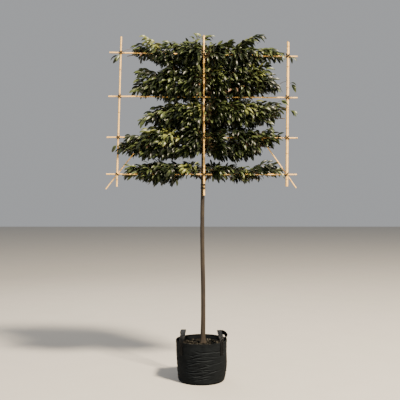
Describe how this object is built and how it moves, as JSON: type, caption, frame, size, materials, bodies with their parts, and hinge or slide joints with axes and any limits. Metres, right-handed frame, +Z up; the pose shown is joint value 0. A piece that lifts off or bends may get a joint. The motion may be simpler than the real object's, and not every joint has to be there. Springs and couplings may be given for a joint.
{
  "type": "potted espalier laurel",
  "caption": "Evergreen laurel trained flat in tiers on a light bamboo frame, with a clear stem, in a round fabric bag with two webbing handles.",
  "frame": {"origin": "middle of the bag's flat underside", "axes": "+Z up the stem, X along the flat crown, and the front of the plant looks towards -Y"},
  "size_m": [1.5309, 0.404, 2.7846],
  "materials": {
    "bag_cloth": "matte",
    "webbing": "matte",
    "compost": "matte",
    "bark": "matte",
    "foliage": "satin",
    "bamboo": "satin",
    "twine": "matte"
  },
  "bodies": {
    "root": {"fabric_bag": "bag_cloth", "compost": "compost", "handle_left": "webbing", "handle_right": "webbing", "trunk": "bark", "bough_top_left": "bark", "bough_top_right": "bark", "bough_upper_left": "bark", "bough_upper_right": "bark", "bough_middle_left": "bark", "bough_middle_right": "bark", "bough_lower_left": "bark", "bough_lower_right": "bark", "bough_bottom_left": "bark", "bough_bottom_right": "bark", "foliage_leader": "foliage", "foliage_top_left": "foliage", "foliage_top_right": "foliage", "foliage_upper_left": "foliage", "foliage_upper_right": "foliage", "foliage_middle_left": "foliage", "foliage_middle_right": "foliage", "foliage_lower_left": "foliage", "foliage_lower_right": "foliage", "foliage_bottom_left": "foliage", "foliage_bottom_right": "foliage", "cane_upright_left": "bamboo", "cane_upright_middle": "bamboo", "cane_upright_right": "bamboo", "cane_level_1": "bamboo", "cane_level_2": "bamboo", "cane_level_3": "bamboo", "cane_level_4": "bamboo", "cane_slant_left": "bamboo", "cane_slant_right": "bamboo", "tie_left_1": "twine", "tie_left_2": "twine", "tie_left_3": "twine", "tie_left_4": "twine", "tie_middle_1": "twine", "tie_middle_2": "twine", "tie_middle_3": "twine", "tie_middle_4": "twine", "tie_right_1": "twine", "tie_right_2": "twine", "tie_right_3": "twine", "tie_right_4": "twine", "tie_stem_1": "twine", "tie_stem_2": "twine"}
  },
  "joints": []
}
